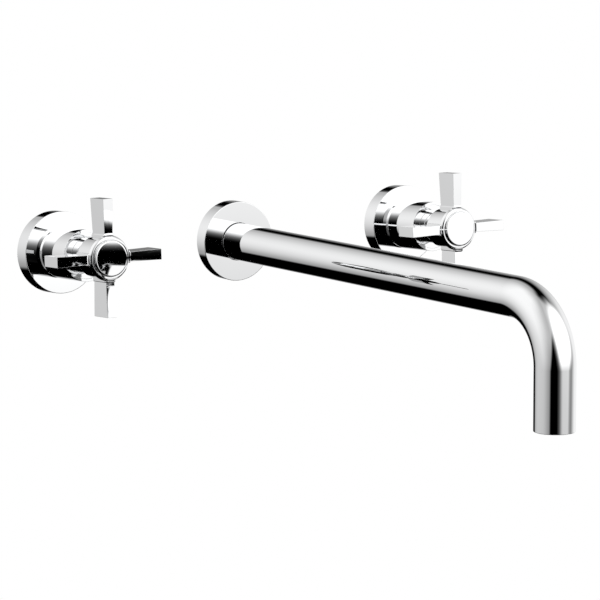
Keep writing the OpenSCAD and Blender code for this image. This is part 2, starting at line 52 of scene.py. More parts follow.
# Pieces that a rounding is cut into, and the width from which it takes the finer cut
PLAIN_STEPS, FINE_STEPS, WIDE_EASE = 4, 12, 1.0

# Facets round a turned piece, and round the wide rims of flange and sleeve
ROUND_STEPS, RIM_STEPS = 144, 180

# How far the rounding of an edge reaches: a keen edge, a usual one and a soft one
KEEN, USUAL, SOFT = 0.1, 0.2, 0.6

# Angles in degrees from which an edge is broken, and from which it stays crisp when shaded
BROKEN_FROM, CRISP_FROM = 30.0, 50.0

# Distances in metres under which two points are one, and a point lies on a plane
MERGE, NEAR = 1e-7, 1e-6

Piece = bpy.types.Object
Socket = bpy.types.NodeSocket
Point = tuple[float, float, float]
Corner = tuple[float, float, float]


class Side(Enum):
    """The two valves, by the side they stand on."""

    HOT = -1
    COLD = 1

    def named(self, what: str) -> str:
        """Name of one of this side's pieces, nodes or bodies."""
        return f"{self.name.lower()}_{what}"


class Body(Enum):
    """The rigid bodies that pieces ride on."""

    FAUCET = "faucet"
    HOT_STEM = "hot_stem"
    COLD_STEM = "cold_stem"


class Way(Enum):
    """The two ways to combine solids."""

    JOIN = "UNION"
    CUT = "DIFFERENCE"


# Modelling


def deselect_all() -> None:
    """Leave edit mode and select nothing."""
    if bpy.context.mode != "OBJECT":
        bpy.ops.object.mode_set(mode="OBJECT")
    bpy.ops.object.select_all(action="DESELECT")


def pick(piece: Piece) -> None:
    """Make a piece the active one and the only selected one.

    Args:
        piece: The mesh object.
    """
    deselect_all()
    piece.select_set(True)
    bpy.context.view_layer.objects.active = piece


def start_editing(piece: Piece) -> None:
    """Pick a piece and enter its edit mode.

    Args:
        piece: The mesh object to edit.
    """
    pick(piece)
    bpy.ops.object.mode_set(mode="EDIT")


def stop_editing() -> None:
    """Return to object mode."""
    bpy.ops.object.mode_set(mode="OBJECT")


def choose_points(piece: Piece, wanted: Callable[[Vector], bool]) -> None:
    """Stay in edit mode with only some points selected.

    Args:
        piece: The mesh object.
        wanted: Says of a place whether its point is selected.
    """
    start_editing(piece)
    bpy.ops.mesh.select_mode(type="VERT")
    bpy.ops.mesh.select_all(action="DESELECT")
    stop_editing()
    for vertex in piece.data.vertices:
        vertex.select = wanted(vertex.co)
    bpy.ops.object.mode_set(mode="EDIT")


def newest(name: str) -> Piece:
    """Name the primitive that was just added.

    Args:
        name: Name for the object and its mesh.

    Returns:
        The active object.
    """
    piece = bpy.context.active_object
    piece.name = name
    piece.data.name = name
    return piece


def block(name: str, middle: Point, size: Point) -> Piece:
    """Add a block with its place in its mesh.

    Args:
        name: Name of the block.
        middle: Place of its middle, in millimetres.
        size: Its lengths along X, Y and Z, in millimetres.

    Returns:
        The block.
    """
    deselect_all()
    bpy.ops.mesh.primitive_cube_add(
        size=1, location=[part * MM for part in middle], scale=[part * MM for part in size])
    piece = newest(name)
    bpy.ops.object.transform_apply(location=True, rotation=True, scale=True)
    return piece


def draw_out(move: Point) -> None:
    """Extrude the selected edges.

    Args:
        move: How far the new edges lie from the old ones, in millimetres.
    """
    bpy.ops.mesh.extrude_edges_move(TRANSFORM_OT_translate={"value": [part * MM for part in move]})


def softened(outline: Sequence[Corner]) -> list[tuple[float, float]]:
    """Round the corners of an outline.

    Args:
        outline: Corners as (radius, distance, ease); ease is how far before and
            after the corner its rounding reaches.

    Returns:
        The outline's points as (radius, distance).
    """
    points: list[tuple[float, float]] = []
    count = len(outline)
    for index, (radius, distance, ease) in enumerate(outline):
        corner = Vector((radius, distance))
        if ease <= 0:
            points.append((radius, distance))
            continue
        before = Vector(outline[(index - 1) % count][:2]) - corner
        after = Vector(outline[(index + 1) % count][:2]) - corner
        first = corner + before.normalized() * ease
        last = corner + after.normalized() * ease
        steps = FINE_STEPS if ease > WIDE_EASE else PLAIN_STEPS
        for step in range(steps + 1):
            t = step / steps
            point = first * (1 - t) ** 2 + corner * 2 * t * (1 - t) + last * t * t
            points.append((point.x, point.y))
    return points


def turned(name: str, outline: Sequence[Corner], ring: bool = False, steps: int = ROUND_STEPS) -> Piece:
    """Turn an outline round the Z axis, as on a lathe.

    Args:
        name: Name of the piece.
        outline: Corners as (radius, distance, ease), in millimetres.
        ring: True joins the last corner to the first, for a piece with a hole.
        steps: Facets round the piece.

    Returns:
        The turned piece, closed, with its axis on Z.
    """
    points = softened(outline)
    deselect_all()
    bpy.ops.mesh.primitive_plane_add(size=MM)
    piece = newest(name)
    start_editing(piece)
    bpy.ops.mesh.select_mode(type="VERT")
    bpy.ops.mesh.select_all(action="SELECT")
    bpy.ops.mesh.merge(type="CENTER")
    bpy.ops.transform.translate(value=(points[0][0] * MM, 0, points[0][1] * MM))
    for before, after in zip(points, points[1:]):
        step = ((after[0] - before[0]) * MM, 0, (after[1] - before[1]) * MM)
        bpy.ops.mesh.extrude_vertices_move(TRANSFORM_OT_translate={"value": step})
    if ring:
        ends = [Vector((points[end][0] * MM, 0, points[end][1] * MM)) for end in (0, -1)]
        choose_points(piece, lambda place: min((place - end).length for end in ends) < MERGE)
        bpy.ops.mesh.edge_face_add()
    bpy.ops.mesh.select_all(action="SELECT")
    bpy.ops.mesh.spin(steps=steps, angle=math.tau, center=(0, 0, 0), axis=(0, 0, 1))
    bpy.ops.mesh.select_all(action="SELECT")
    bpy.ops.mesh.remove_doubles(threshold=MERGE)
    bpy.ops.mesh.normals_make_consistent(inside=False)
    stop_editing()
    return piece


def settle(piece: Piece, place: Matrix) -> Piece:
    """Move a piece to its place and keep that place in its mesh.

    Args:
        piece: Piece modelled in its own frame.
        place: Where that frame lies in the faucet's frame.

    Returns:
        The same piece, its object at the origin.
    """
    pick(piece)
    piece.matrix_world = place
    bpy.ops.object.transform_apply(location=True, rotation=True, scale=True)
    return piece


def apply_modifier(piece: Piece, modifier: bpy.types.Modifier) -> None:
    """Apply one modifier of a piece.

    Args:
        piece: Piece that carries the modifier.
        modifier: Modifier to apply.
    """
    pick(piece)
    bpy.ops.object.modifier_apply(modifier=modifier.name)


def smooth(piece: Piece) -> Piece:
    """Shade a piece smooth, with its sharp edges crisp and its large faces truly flat.

    Args:
        piece: Piece to shade.

    Returns:
        The same piece.
    """
    pick(piece)
    bpy.ops.object.shade_smooth_by_angle(angle=math.radians(CRISP_FROM), keep_sharp_edges=True)
    modifier = piece.modifiers.new("normals", "WEIGHTED_NORMAL")
    modifier.mode = "FACE_AREA"
    modifier.weight = 100
    modifier.keep_sharp = True
    apply_modifier(piece, modifier)
    return piece


def combine(piece: Piece, other: Piece, way: Way) -> Piece:
    """Join one solid to another, or cut it out, and remove it.

    Args:
        piece: Solid that stays.
        other: Solid that is joined or cut out.
        way: Which of the two.

    Returns:
        The solid that stays.
    """
    modifier = piece.modifiers.new("combine", "BOOLEAN")
    modifier.operation = way.value
    modifier.solver = "EXACT"
    modifier.object = other
    apply_modifier(piece, modifier)
    bpy.data.objects.remove(other)
    return piece


def united(name: str, pieces: Sequence[Piece]) -> Piece:
    """Join several solids into one without walls inside.

    Args:
        name: Name of the joined piece.
        pieces: Solids that overlap.

    Returns:
        The joined piece.
    """
    first, *others = pieces
    for other in others:
        combine(first, other, Way.JOIN)
    first.name = name
    first.data.name = name
    return first


def bevel(piece: Piece, width: float, segments: int) -> None:
    """Break the sharp edges of a piece.

    Args:
        piece: Piece to bevel.
        width: Width of the edge break, in millimetres.
        segments: Faces across each edge break.
    """
    modifier = piece.modifiers.new("edge", "BEVEL")
    modifier.width = width * MM
    modifier.segments = segments
    modifier.limit_method = "ANGLE"
    modifier.angle_limit = math.radians(BROKEN_FROM)
    modifier.use_clamp_overlap = True
    apply_modifier(piece, modifier)


# Finishes

# Detail of the noise for patches and for grain, and the span in which most of its values lie
PATCH_DETAIL, GRAIN_DETAIL = 4, 3
NOISE_LOW, NOISE_HIGH = 0.3, 0.7


def add_node(tree: bpy.types.NodeTree, kind: str, inputs: dict[str, object] | None = None) -> bpy.types.Node:
    """Add a shader node and fill in some of its inputs.

    Args:
        tree: Node tree that it joins.
        kind: Its kind, without the first word that all of them share.
        inputs: Values by the names of the inputs.

    Returns:
        The node.
    """
    node = tree.nodes.new(f"ShaderNode{kind}")
    for name, value in (inputs or {}).items():
        node.inputs[name].default_value = value
    return node


@dataclass(frozen=True)
class Finish:
    """A metal, rubber, plastic or ceramic surface with a fine irregular texture.

    The colour wanders between two tones in patches, and the roughness wanders with it.
    The fine grain has its own size and height.
    """

    name: str
    colour: tuple[float, float, float]
    second_colour: tuple[float, float, float]
    roughness: float
    metallic: float = 0.0
    roughness_span: float = 0.0
    patch_size: float = 8.0
    grain_size: float = 0.5
    grain_height: float = 0.0

    @cache
    def build(self) -> bpy.types.Material:
        """Make the material, once, from noise in the piece's own coordinates.

        Returns:
            The finished material.
        """
        material = bpy.data.materials.new(self.name)
        material.use_nodes = True
        tree, links = material.node_tree, material.node_tree.links
        shader = tree.nodes["Principled BSDF"]
        shader.inputs["Metallic"].default_value = self.metallic
        place = add_node(tree, "TexCoord").outputs["Object"]
        patches = add_node(tree, "TexNoise", {"Scale": 1 / (self.patch_size * MM), "Detail": PATCH_DETAIL})
        links.new(place, patches.inputs["Vector"])
        tone = add_node(tree, "Mix")
        tone.data_type = "RGBA"
        tone.inputs["A"].default_value = (*self.colour, 1)
        tone.inputs["B"].default_value = (*self.second_colour, 1)
        links.new(patches.outputs["Fac"], tone.inputs["Factor"])
        links.new(tone.outputs["Result"], shader.inputs["Base Color"])
        spread = add_node(tree, "MapRange", {
            "From Min": NOISE_LOW, "From Max": NOISE_HIGH, "To Min": self.roughness,
            "To Max": self.roughness + self.roughness_span})
        links.new(patches.outputs["Fac"], spread.inputs["Value"])
        links.new(spread.outputs["Result"], shader.inputs["Roughness"])
        if self.grain_height > 0:
            grain = add_node(tree, "TexNoise", {"Scale": 1 / (self.grain_size * MM), "Detail": GRAIN_DETAIL})
            links.new(place, grain.inputs["Vector"])
            relief = add_node(tree, "Bump", {"Distance": self.grain_height * MM, "Strength": 1.0})
            links.new(grain.outputs["Fac"], relief.inputs["Height"])
            links.new(relief.outputs["Normal"], shader.inputs["Normal"])
        return material


POLISHED_CHROME = Finish(
    "polished_chrome", (0.86, 0.865, 0.87), (0.87, 0.873, 0.877), metallic=1.0,
    roughness=0.012, roughness_span=0.012, patch_size=40.0)
CAST_BRASS = Finish(
    "cast_brass", (0.60, 0.42, 0.17), (0.72, 0.53, 0.25), metallic=1.0,
    roughness=0.34, roughness_span=0.16, patch_size=6.0, grain_size=0.7, grain_height=0.05)
TURNED_BRASS = Finish(
    "turned_brass", (0.78, 0.58, 0.27), (0.84, 0.65, 0.34), metallic=1.0,
    roughness=0.18, roughness_span=0.1, patch_size=3.0, grain_size=0.25, grain_height=0.008)
DRAWN_COPPER = Finish(
    "drawn_copper", (0.72, 0.36, 0.22), (0.80, 0.46, 0.30), metallic=1.0,
    roughness=0.2, roughness_span=0.18, patch_size=12.0, grain_size=0.5, grain_height=0.006)
BLACK_RUBBER = Finish(
    "black_rubber", (0.02, 0.02, 0.021), (0.035, 0.035, 0.036),
    roughness=0.55, roughness_span=0.15, patch_size=1.5, grain_size=0.2, grain_height=0.01)
GREY_FOAM = Finish(
    "grey_foam", (0.055, 0.055, 0.06), (0.11, 0.11, 0.115),
    roughness=0.9, roughness_span=0.08, patch_size=0.8, grain_size=0.5, grain_height=0.12)
LAPPED_CERAMIC = Finish(
    "lapped_ceramic", (0.84, 0.82, 0.76), (0.88, 0.87, 0.82),
    roughness=0.12, roughness_span=0.08, patch_size=2.0, grain_size=0.2, grain_height=0.003)
AERATOR_PLASTIC = Finish(
    "aerator_plastic", (0.72, 0.72, 0.68), (0.78, 0.78, 0.74),
    roughness=0.38, roughness_span=0.12, patch_size=2.0, grain_size=0.25, grain_height=0.006)
SATIN_STEEL = Finish(
    "satin_steel", (0.55, 0.56, 0.57), (0.64, 0.65, 0.66), metallic=1.0,
    roughness=0.24, roughness_span=0.12, patch_size=1.5, grain_size=0.2, grain_height=0.006)


@dataclass
class Workshop:
    """Dresses pieces, puts them on their bodies and counts them."""

    count: int = 0

    def dress(self, piece: Piece, finish: Finish) -> None:
        """Give a piece one finish all over.

        Args:
            piece: Piece or CAD node.
            finish: Its finish.
        """
        piece.data.materials.clear()
        piece.data.materials.append(finish.build())

    def hand_over(
        self, piece: Piece, finish: Finish, body: Body, nodes: Sequence[str],
    ) -> None:
        """Dress a new piece, let it ride and let it stand for its nodes.

        Args:
            piece: Finished piece, its place in its mesh.
            finish: Its finish.
            body: Body that it rides on.
            nodes: CAD nodes that it stands for.
        """
        self.dress(piece, finish)
        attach(piece, body.value)
        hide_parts(*nodes)
        self.count += 1
        LOG.info("%s rides on %s", piece.name, body.value)


# Spout


@dataclass
class Spout:
    """The bent tube, with its wall and its eased mouth.

    In its own frame the tube runs along Z and drops along -Y.
    """

    diameter: float = 28.0
    wall: float = 1.5
    straight: float = 360.0
    start: float = 2.0
    bend: float = 42.0
    drop: float = 42.0
    slope: float = 2.8
    depth: float = 47.0
    mouth_ease: float = 0.35
    mouth_steps: int = 4
    bend_steps: int = 64
    facets: int = 128

    def wall_along(self) -> float:
        """Distance from the pipe line to the wall face, along the tube."""
        return self.depth / math.cos(math.radians(self.slope))

    def frame_at(self, distance: float) -> Matrix:
        """Frame on the tube's axis, its Z along the sloped tube.

        Args:
            distance: Distance from the pipe line along the tube, in millimetres.

        Returns:
            The frame's place.
        """
        line = Matrix.Translation((0, self.depth * MM, 0))
        fall = Matrix.Rotation(math.radians(90 + self.slope), 4, "X")
        return line @ fall @ Matrix.Translation((0, 0, distance * MM))

    def tube(self) -> Piece:
        """Draw the tube's outside to its mouth and its inside back to its rear end.

        Returns:
            The tube in the faucet's frame.
        """
        deselect_all()
        radius = self.diameter / 2
        bpy.ops.mesh.primitive_circle_add(vertices=self.facets, radius=radius * MM, fill_type="NOTHING")
        piece = newest("spout_tube_bent")
        start_editing(piece)
        bpy.ops.mesh.select_mode(type="VERT")
        bpy.ops.mesh.select_all(action="SELECT")
        draw_out((0, 0, self.straight))
        self._bend(-90)
        draw_out((0, -(self.drop - self.mouth_ease), 0))
        self._turn_in()
        draw_out((0, self.drop, 0))
        self._bend(90)
        draw_out((0, 0, -self.straight))
        bpy.ops.mesh.select_all(action="SELECT")
        bpy.ops.mesh.remove_doubles(threshold=MERGE)
        # The two open rings at the rear end are bridged
        choose_points(piece, lambda place: abs(place.z) < NEAR)
        bpy.ops.mesh.bridge_edge_loops()
        bpy.ops.mesh.select_all(action="SELECT")
        bpy.ops.mesh.normals_make_consistent(inside=False)
        stop_editing()
        return smooth(settle(piece, self.frame_at(self.wall_along() + self.start)))

    def _bend(self, degrees: float) -> None:
        """Sweep the selected ring round the bend.

        Args:
            degrees: Angle of the sweep, below zero on the way down.
        """
        bpy.ops.mesh.spin(
            steps=self.bend_steps, angle=math.radians(degrees),
            center=(0, -self.bend * MM, self.straight * MM), axis=(1, 0, 0))

    def _turn_in(self) -> None:
        """Round the mouth's outer edge and carry the selected ring in to the bore."""
        mouth = Vector((0, -(self.bend + self.drop) * MM, (self.straight + self.bend) * MM))
        ease = self.mouth_ease
        flat = self.diameter / 2 - ease
        turns = [math.radians(90 * step / self.mouth_steps) for step in range(self.mouth_steps + 1)]
        for last, turn in zip(turns, turns[1:]):
            draw_out((0, ease * (math.sin(last) - math.sin(turn)), 0))
            share = (flat + ease * math.cos(turn)) / (flat + ease * math.cos(last))
            bpy.ops.transform.resize(value=(share, 1, share), center_override=mouth)
        draw_out((0, 0, 0))
        share = (self.diameter / 2 - self.wall) / flat
        bpy.ops.transform.resize(value=(share, 1, share), center_override=mouth)

    def build(self, shop: Workshop) -> None:
        """Make the tube.

        Args:
            shop: Workshop that finishes it.
        """
        shop.hand_over(self.tube(), POLISHED_CHROME, Body.FAUCET, ["spout_tube"])


# Wall flanges


@dataclass
class WallFlange:
    """A round, hollow flange against the wall."""

    diameter: float = 60.0
    thickness: float = 13.0
    wall: float = 2.0
    bore: float = 18.15
    collar: float = 21.2
    collar_back: float = 4.0
    rim_ease: float = 0.45
    bore_ease: float = 0.25

    def shell(self, name: str) -> Piece:
        """Turn the flange.

        Args:
            name: Name of the piece.

        Returns:
            The flange round the Z axis, its back at zero.
        """
        outer = self.diameter / 2
        inner = outer - self.wall
        front = self.thickness
        return turned(name, [
            (self.bore, front, self.bore_ease), (outer, front, self.rim_ease), (outer, 0, USUAL),
            (inner, 0, USUAL), (inner, front - self.wall, SOFT),
            (self.collar, front - self.wall, SOFT), (self.collar, self.collar_back, USUAL),
            (self.bore, self.collar_back, USUAL),
        ], ring=True, steps=RIM_STEPS)


# Valve trim


@dataclass
class Sleeve:
    """The round sleeve in front of a valve's flange, and the bush in it that guides the stem."""

    radius: float = 18.9
    bore: float = 16.8
    tail: float = 18.0
    start: float = 1.0
    end: float = 50.7
    lip_ease: float = 0.15
    web_bore: float = 11.0
    web_front: float = 50.2
    web_thickness: float = 3.4
    foot_height: float = 4.0
    foot_in: float = 0.6
    foot_ease: float = 0.8
    bush_radius: float = 10.95
    bush_bore: float = 5.9
    bush_length: float = 6.0
    bush_ease: float = 0.3

    def tube(self, side: Side, face: float) -> Piece:
        """Turn the sleeve with its drawn-in foot and its shallow recess.

        Args:
            side: Valve that it belongs to.
            face: Distance of the flange's front from the wall, in millimetres.

        Returns:
            The sleeve in its valve's frame.
        """
        web_back = self.web_front - self.web_thickness
        return turned(side.named("sleeve_turned"), [
            (self.tail, self.start, USUAL), (self.tail, face, 0), (self.radius - self.foot_in, face, 0),
            (self.radius, face + self.foot_height, self.foot_ease), (self.radius, self.end, self.lip_ease),
            (self.bore, self.end, self.lip_ease), (self.bore, self.web_front, KEEN),
            (self.web_bore, self.web_front, 0), (self.web_bore, web_back, 0),
            (self.bore, web_back, 0), (self.bore, self.start, USUAL),
        ], ring=True, steps=RIM_STEPS)

    def bush(self, side: Side) -> Piece:
        """Turn the bush that guides the stem.

        Args:
            side: Valve that it belongs to.

        Returns:
            The bush in its valve's frame.
        """
        back = self.web_front - self.bush_length
        return turned(side.named("guide_bush_turned"), [
            (self.bush_bore, self.web_front, USUAL), (self.bush_radius, self.web_front, KEEN),
            (self.bush_radius, back, self.bush_ease), (self.bush_bore, back, USUAL),
        ], ring=True)


@dataclass
class Cap:
    """The ring on the hub's front, and the plain index button in it."""

    seat: float = 82.5
    radius: float = 16.4
    edge: float = 0.2
    ridge: float = 15.6
    ridge_at: float = 84.5
    inner: float = 14.7
    front: float = 85.2
    bore: float = 9.9
    tail: float = 12.05
    back: float = 77.1
    button_radius: float = 13.2
    button_front: float = 87.2
    button_round: float = 1.3
    button_tail: float = 9.85
    button_back: float = 80.1
    button_gap: float = 0.15
    button_seat: float = 0.4
    button_lift: float = 0.05

    def ring(self, side: Side) -> Piece:
        """Turn the ring, with its tail for the hub's recess.

        Args:
            side: Valve that it belongs to.

        Returns:
            The ring in its valve's frame.
        """
        wide = self.button_radius + self.button_gap
        floor = self.front - self.button_seat
        return turned(side.named("front_ring_turned"), [
            (self.bore, self.back, USUAL), (self.tail, self.back, USUAL), (self.tail, self.seat, 0),
            (self.radius, self.seat, KEEN), (self.radius, self.seat + self.edge, KEEN),
            (self.ridge, self.ridge_at, USUAL), (self.inner, self.front, USUAL),
            (wide, self.front, KEEN), (wide, floor, 0), (self.bore, floor, 0),
        ], ring=True)

    def button(self, side: Side) -> Piece:
        """Turn the plain index button, with its tail for the ring's bore.

        Args:
            side: Valve that it belongs to.

        Returns:
            The button in its valve's frame.
        """
        rest = self.front - self.button_seat + self.button_lift
        return turned(side.named("index_button"), [
            (0, self.button_back, 0), (self.button_tail, self.button_back, USUAL),
            (self.button_tail, rest, 0), (self.button_radius, rest, KEEN),
            (self.button_radius, self.button_front, self.button_round), (0, self.button_front, 0),
        ])


@dataclass
class Handle:
    """The cross handle: neck, hub, two crossing shoulders and four arms, one casting."""

    cap: Cap
    neck_radius: float = 12.5
    neck_start: float = 50.4
    neck_ease: float = 0.3
    hub_radius: float = 14.6
    hub_start: float = 63.0
    hub_ease: float = 0.35
    bore: float = 5.8
    recess: float = 12.1
    recess_floor: float = 76.5
    floor_back: float = 74.4
    screw_bore: float = 2.8
    shoulder_radius: float = 17.2
    shoulder_width: float = 9.0
    shoulder_edge: float = 0.6
    arm_start: float = 4.0
    arm_back: float = 66.4
    arm_front: float = 83.6
    arm_length: float = 42.4
    arm_width_root: float = 6.8
    arm_width_tip: float = 7.8
    arm_flare: float = 0.8
    arm_edge: float = 0.15
    fillet_width: float = 1.9
    fillet_height: float = 1.1
    fillet_steps: int = 8
    fillet_sink: float = 0.3
    fillet_lap: float = 0.5
    corner: float = 30.0
    seat_radius: float = 13.5
    seat_back: float = 60.0
    seat_front: float = 90.0
    seat_gap: float = 0.05

    def arm_depth(self) -> float:
        """Depth of the arms at their roots, along the valve's axis."""
        return self.arm_front - self.arm_back

    def arm_middle(self) -> float:
        """Distance of the arms' middle from the wall."""
        return (self.arm_front + self.arm_back) / 2

    def hub(self) -> Piece:
        """Turn the neck and the hub, with the recess for the ring's tail.

        Returns:
            The hub in its valve's frame.
        """
        front = self.cap.seat
        return turned("hub", [
            (self.bore, self.neck_start, USUAL), (self.neck_radius, self.neck_start, KEEN),
            (self.neck_radius, self.hub_start, self.neck_ease),
            (self.hub_radius, self.hub_start, self.hub_ease), (self.hub_radius, front, USUAL),
            (self.recess, front, USUAL), (self.recess, self.recess_floor, 0),
            (self.screw_bore, self.recess_floor, 0), (self.screw_bore, self.floor_back, 0),
            (self.bore, self.floor_back, 0),
        ], ring=True)

    def arm(self, turn: float) -> Piece:
        """Shape one arm, which flares from its shoulder to its end.

        Args:
            turn: Angle of the arm round the valve's axis, in degrees.

        Returns:
            The arm in its valve's frame.
        """
        depth, middle = self.arm_depth(), self.arm_middle()
        length = self.shoulder_radius - self.arm_start
        size = (length, self.arm_width_root, depth)
        piece = block("arm", (self.arm_start + length / 2, 0, middle), size)
        choose_points(piece, lambda place: place.x > self.shoulder_radius * MM - NEAR)
        reach = (self.arm_length - self.shoulder_radius) * MM
        bpy.ops.mesh.extrude_region_move(TRANSFORM_OT_translate={"value": (reach, 0, 0)})
        taller = (depth + 2 * self.arm_flare) / depth
        wider = self.arm_width_tip / self.arm_width_root
        centre = (self.arm_length * MM, 0, middle * MM)
        bpy.ops.transform.resize(value=(1, wider, taller), center_override=centre)
        stop_editing()
        bevel(piece, self.arm_edge, segments=2)
        return settle(piece, Matrix.Rotation(math.radians(turn), 4, "Z"))

    def shoulder(self, turn: float) -> Piece:
        """Shape one of the two crossing shoulders that the arms grow from.

        Args:
            turn: Angle of the shoulder round the valve's axis, in degrees.

        Returns:
            The shoulder in its valve's frame.
        """
        size = (2 * self.shoulder_radius, self.shoulder_width, self.arm_depth())
        piece = block("shoulder", (0, 0, self.arm_middle()), size)
        bevel(piece, self.shoulder_edge, segments=3)
        return settle(piece, Matrix.Rotation(math.radians(turn), 4, "Z"))

    def fillets(self) -> Piece:
        """Turn the hollow fillet between the ring and the arms and keep what lies on the arms.

        Returns:
            The four fillets in their valve's frame.
        """
        inner, foot = self.cap.radius - self.fillet_lap, self.arm_front - self.fillet_sink
        outer = self.cap.radius + self.fillet_width
        curve = []
        for step in range(self.fillet_steps + 1):
            angle = math.radians(90 * step / self.fillet_steps)
            curve.append((self.cap.radius + self.fillet_width * (1 - math.sin(angle)),
                          self.arm_front + self.fillet_height * (1 - math.cos(angle)), 0))
        outline = [(inner, foot, 0), (outer, foot, 0), *curve, (inner, curve[-1][1], 0)]
        piece = turned("fillets", outline, ring=True)
        reach = (self.arm_width_root + self.corner) / 2
        size = (self.corner, self.corner, self.corner)
        corners = [block("corner", (across * reach, up * reach, self.arm_front), size)
                   for across, up in ((1, 1), (-1, 1), (-1, -1), (1, -1))]
        return combine(piece, united("corners", corners), Way.CUT)

    def seat(self) -> Piece:
        """Turn the room that the cross leaves for the hub and, in front of it, for the ring.

        Returns:
            The room as a solid in its valve's frame.
        """
        wide = self.cap.radius + self.seat_gap
        return turned("seat", [
            (0, self.seat_back, 0), (self.seat_radius, self.seat_back, 0),
            (self.seat_radius, self.cap.seat, 0), (wide, self.cap.seat, 0),
            (wide, self.seat_front, 0), (0, self.seat_front, 0),
        ])

    def casting(self, side: Side) -> Piece:
        """Join the handle's forms into one solid.

        Args:
            side: Valve that it belongs to.

        Returns:
            The handle in its valve's frame.
        """
        hub = self.hub()
        arms = [self.arm(turn) for turn in (0, 90, 180, 270)]
        shoulders = [self.shoulder(turn) for turn in (0, 90)]
        cross = united("cross", [*shoulders, *arms, self.fillets()])
        combine(cross, self.seat(), Way.CUT)
        return united(side.named("cross_handle"), [hub, cross])


@dataclass
class ValveTrim:
    """Everything of one valve that shows in front of the wall."""

    side: Side
    spacing: float = 152.4
    flange: WallFlange = field(default_factory=WallFlange)
    sleeve: Sleeve = field(default_factory=Sleeve)
    cap: Cap = field(default_factory=Cap)

    def place(self) -> Matrix:
        """Frame of this valve: its Z points out of the wall and its Y up."""
        middle = Matrix.Translation((self.side.value * self.spacing * MM, 0, 0))
        return middle @ Matrix.Rotation(math.radians(90), 4, "X")

    def build(self, shop: Workshop) -> None:
        """Make the trim of this valve.

        Args:
            shop: Workshop that finishes the pieces.
        """
        side, stem = self.side, Body(self.side.named("stem"))
        pieces = [
            (self.flange.shell(side.named("flange_turned")), Body.FAUCET, "flange"),
            (self.sleeve.tube(side, self.flange.thickness), Body.FAUCET, "sleeve"),
            (self.sleeve.bush(side), Body.FAUCET, "guide_bush"),
            (Handle(self.cap).casting(side), stem, "handle"),
            (self.cap.ring(side), stem, "ring"),
            (self.cap.button(side), stem, "button"),
        ]
        for piece, body, node in pieces:
            smooth(settle(piece, self.place()))
            shop.hand_over(piece, POLISHED_CHROME, body, [side.named(node)])


@dataclass
class SpoutFlange:
    """The spout's wall flange, square to the sloped tube and cut flat along the wall."""

    spout: Spout
    thickness: float = 11.0
    wall: float = 1.8
    collar: float = 18.4
    collar_back: float = 2.5
    gap: float = 0.45
    spare: float = 2.0
    room: float = 80.0

    def build(self, shop: Workshop) -> None:
        """Turn the flange round the tube's axis and cut off what reaches into the wall.

        Args:
            shop: Workshop that finishes it.
        """
        shape = WallFlange(
            thickness=self.thickness + self.spare, wall=self.wall, bore=self.spout.diameter / 2 + self.gap,
            collar=self.collar, collar_back=self.collar_back + self.spare)
        piece = shape.shell("spout_flange_turned")
        settle(piece, self.spout.frame_at(self.spout.wall_along() - self.spare))
        combine(piece, block("room", (0, self.room / 2, 0), (self.room, self.room, self.room)), Way.CUT)
        smooth(piece)
        shop.hand_over(piece, POLISHED_CHROME, Body.FAUCET, ["spout_flange"])


# Nodes that keep their own shape

# Endings of the nodes' names, by finish; the others are chrome
NODE_FINISHES: dict[Finish, tuple[str, ...]] = {
    CAST_BRASS: ("tee_body", "valve_body"),
    TURNED_BRASS: (
        "spout_adapter", "spout_nipple", "outlet_insert", "cartridge_body", "sleeve_carrier",
        "spindle", "stem_extension"),
    DRAWN_COPPER: ("link_pipe",),
    BLACK_RUBBER: ("spout_washer", "aerator_washer", "cartridge_seal", "o_ring", "o_rings"),
    GREY_FOAM: ("flange_gasket",),
    LAPPED_CERAMIC: ("fixed_disc", "moving_disc"),
    AERATOR_PLASTIC: ("aerator_body",),
    SATIN_STEEL: ("aerator_screen", "spindle_clip", "handle_screw"),
}


def dress_nodes(shop: Workshop) -> None:
    """Give every CAD node a finish; only the chrome ones are mirrored by others.

    Args:
        shop: Workshop that finishes them.
    """
    for name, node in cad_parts.items():
        wanted = (finish for finish, endings in NODE_FINISHES.items() if name.endswith(endings))
        finish = next(wanted, POLISHED_CHROME)
        shop.dress(node, finish)
        node.visible_glossy = finish is POLISHED_CHROME


# Studio


def linear(grey: float) -> float:
    """Light level that a grey of 0 to 255 stands for."""
    value = grey / 255
    return value / 12.92 if value <= 0.04045 else ((value + 0.055) / 1.055) ** 2.4


# Greys of the ceiling and of the floor's pale patch, and the level of the right wall's low end
CEILING_GREY, PATCH_GREY, LOW_LEVEL = 176, 205, 0.83

# Middles of the sky's round fields, as azimuth and elevation, and the right wall's reach
WALL_MIDDLE, WALL_REACH = (-91, -7), 67.2
ARCH_MIDDLE, LAMP_MIDDLE, SHADE_MIDDLE = (-66, -28), (-27, 22), (-85, 79)


